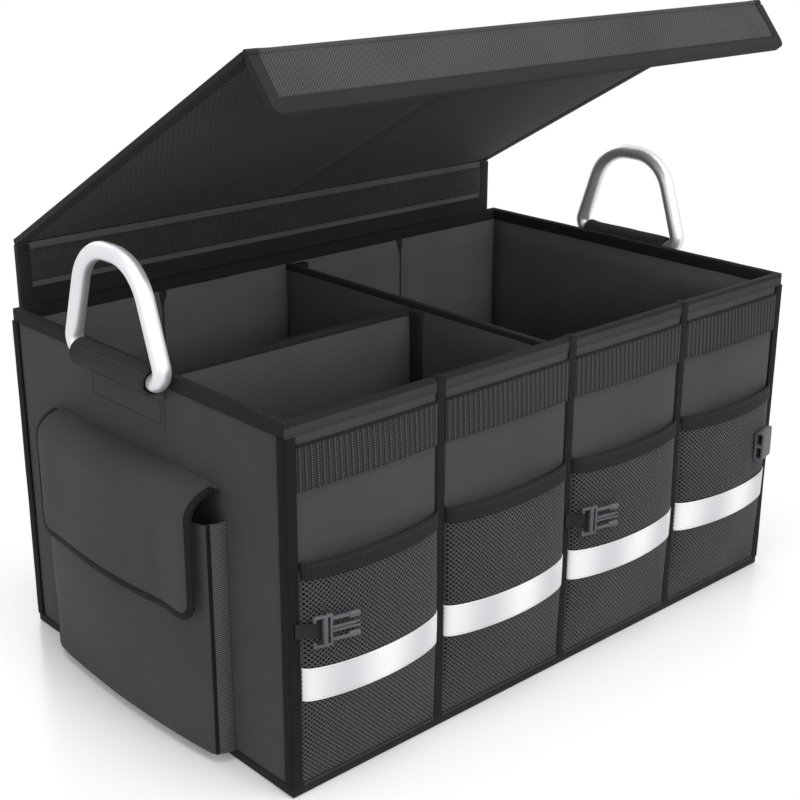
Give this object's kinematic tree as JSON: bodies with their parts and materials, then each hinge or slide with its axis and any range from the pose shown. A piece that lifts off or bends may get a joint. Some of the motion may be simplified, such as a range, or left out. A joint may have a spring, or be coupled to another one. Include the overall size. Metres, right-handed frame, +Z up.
{
  "type": "car trunk organizer",
  "caption": "Collapsible fabric trunk organizer box with dividers, mesh front pockets, a side pocket, tube handles and a folding lid.",
  "frame": {"origin": "middle of the box's underside, on the floor", "axes": "+X along the long side, towards the end without the pocket; -Y out of the pocketed front; +Z up"},
  "size_m": [0.6609, 0.4139, 0.5541],
  "materials": {
    "shell_fabric": "woven polyester, matt",
    "lining_fabric": "plain woven lining, matt",
    "binding_tape": "stitched grosgrain tape",
    "webbing": "ribbed webbing",
    "pocket_mesh": "diamond mesh",
    "reflective_tape": "satin reflective tape",
    "aluminium": "satin anodised tube",
    "buckle_plastic": "moulded, lightly textured",
    "hook_tape": "hook and loop pile",
    "gusset_twill": "fine diagonal twill"
  },
  "bodies": {
    "box": {"base_board": "lining_fabric", "front_wall": "shell_fabric", "rear_wall": "shell_fabric", "left_end_wall": "shell_fabric", "right_end_wall": "shell_fabric", "rim_binding": "binding_tape", "bottom_binding": "binding_tape", "corner_binding_front_left": "binding_tape", "corner_binding_front_right": "binding_tape", "corner_binding_rear_right": "binding_tape", "corner_binding_rear_left": "binding_tape", "front_seam_tape_1": "binding_tape", "front_seam_tape_2": "binding_tape", "front_seam_tape_3": "binding_tape", "webbing_band_1": "webbing", "webbing_band_2": "webbing", "webbing_band_3": "webbing", "webbing_band_4": "webbing", "mesh_pocket_1": "pocket_mesh", "mesh_pocket_2": "pocket_mesh", "mesh_pocket_3": "pocket_mesh", "mesh_pocket_4": "pocket_mesh", "pocket_hem_1": "binding_tape", "pocket_hem_2": "binding_tape", "pocket_hem_3": "binding_tape", "pocket_hem_4": "binding_tape", "reflective_tape_1": "reflective_tape", "reflective_tape_2": "reflective_tape", "reflective_tape_3": "reflective_tape", "reflective_tape_4": "reflective_tape", "cross_divider": "lining_fabric", "long_divider": "lining_fabric", "rear_seam_left": "binding_tape", "rear_seam_right": "binding_tape", "buckle_tab_1": "webbing", "buckle_tab_2": "webbing", "buckle_tab_3": "webbing", "male_buckle_1": "buckle_plastic", "male_buckle_2": "buckle_plastic", "female_buckle": "buckle_plastic", "handle_sleeve_left": "shell_fabric", "handle_sleeve_right": "shell_fabric", "side_pocket": "shell_fabric", "side_gusset_front": "gusset_twill", "side_gusset_rear": "gusset_twill", "lid_loop_strip": "hook_tape"},
    "lid_rear": {"lid_rear_flap": "shell_fabric", "lid_rear_flap_binding": "binding_tape", "lid_hook_strip": "hook_tape", "lid_rear_fold": "binding_tape"},
    "lid_cover": {"lid_panel": "shell_fabric", "lid_side_binding_left": "binding_tape", "lid_side_binding_right": "binding_tape"},
    "lid_front": {"lid_front_flap": "shell_fabric", "lid_front_flap_binding": "binding_tape", "lid_front_fold": "binding_tape"},
    "left_handle": {"handle_left": "aluminium"},
    "right_handle": {"handle_right": "aluminium"},
    "side_flap": {"side_pocket_flap": "shell_fabric"}
  },
  "joints": [
    {"name": "lid_slide", "type": "slide", "parent": "box", "child": "lid_rear", "axis": [0, 0, 1], "range_m": [-0.0535, 0]},
    {"name": "lid_hinge", "type": "hinge", "parent": "lid_rear", "child": "lid_cover", "pos_m": [0, 0.1943, 0.362], "axis": [-1, 0, 0], "range_deg": [-29.2, 125]},
    {"name": "lid_front_fold", "type": "hinge", "parent": "lid_cover", "child": "lid_front", "pos_m": [0, -0.14527, 0.55178], "axis": [-1, 0, 0], "range_deg": [0, 80]},
    {"name": "left_handle_swing", "type": "hinge", "parent": "box", "child": "left_handle", "pos_m": [-0.3117, 0.005, 0.301], "axis": [0, -1, 0], "range_deg": [-10, 90]},
    {"name": "right_handle_swing", "type": "hinge", "parent": "box", "child": "right_handle", "pos_m": [0.3117, 0.005, 0.301], "axis": [0, 1, 0], "range_deg": [-10, 90]},
    {"name": "side_flap_lift", "type": "hinge", "parent": "box", "child": "side_flap", "pos_m": [-0.3025, 0.005, 0.2328], "axis": [0, 1, 0], "range_deg": [0, 65]}
  ]
}
